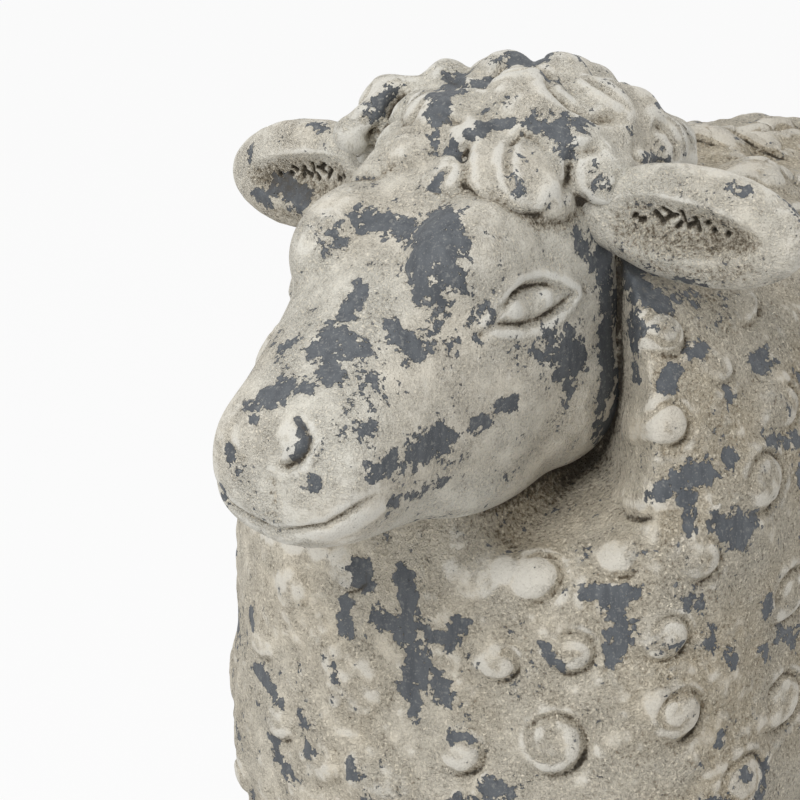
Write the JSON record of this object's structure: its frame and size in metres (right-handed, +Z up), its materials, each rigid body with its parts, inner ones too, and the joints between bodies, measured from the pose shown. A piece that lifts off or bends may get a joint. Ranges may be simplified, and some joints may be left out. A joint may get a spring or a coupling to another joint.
{
  "type": "sheep figurine",
  "caption": "Standing sheep garden figure in cast cement, with curled fleece, a wool cap, leaf-shaped ears and short legs on cloven hooves.",
  "frame": {"origin": "on the ground, under the middle of the figure's bounding box", "axes": "+Z up, the sheep looks along -Y, +X is its left side"},
  "size_m": [0.272, 0.572, 0.519],
  "materials": {
    "weathered_cement": "cast magnesia cement, dark grey and smooth, under a ragged cream coat of lime and sand",
    "mortar": "fibre mortar, unpainted",
    "reinforcing_steel": "plain round and flat bar, dull"
  },
  "bodies": {
    "root": {"fleece_shell_left": "weathered_cement", "fleece_shell_right": "weathered_cement", "head_shell": "weathered_cement", "wool_cap": "weathered_cement", "left_ear": "weathered_cement", "right_ear": "weathered_cement", "tail": "weathered_cement", "front_left_leg": "weathered_cement", "front_right_leg": "weathered_cement", "rear_left_leg": "weathered_cement", "rear_right_leg": "weathered_cement", "seam_band": "mortar", "head_plug": "mortar", "front_mortar_bed": "mortar", "rear_mortar_bed": "mortar", "front_left_leg_rod": "reinforcing_steel", "front_right_leg_rod": "reinforcing_steel", "rear_left_leg_rod": "reinforcing_steel", "rear_right_leg_rod": "reinforcing_steel", "front_cross_bar": "reinforcing_steel", "rear_cross_bar": "reinforcing_steel", "spine_bar": "reinforcing_steel", "neck_rod": "reinforcing_steel", "left_ear_pin": "reinforcing_steel", "right_ear_pin": "reinforcing_steel", "tail_pin": "reinforcing_steel"}
  },
  "joints": []
}
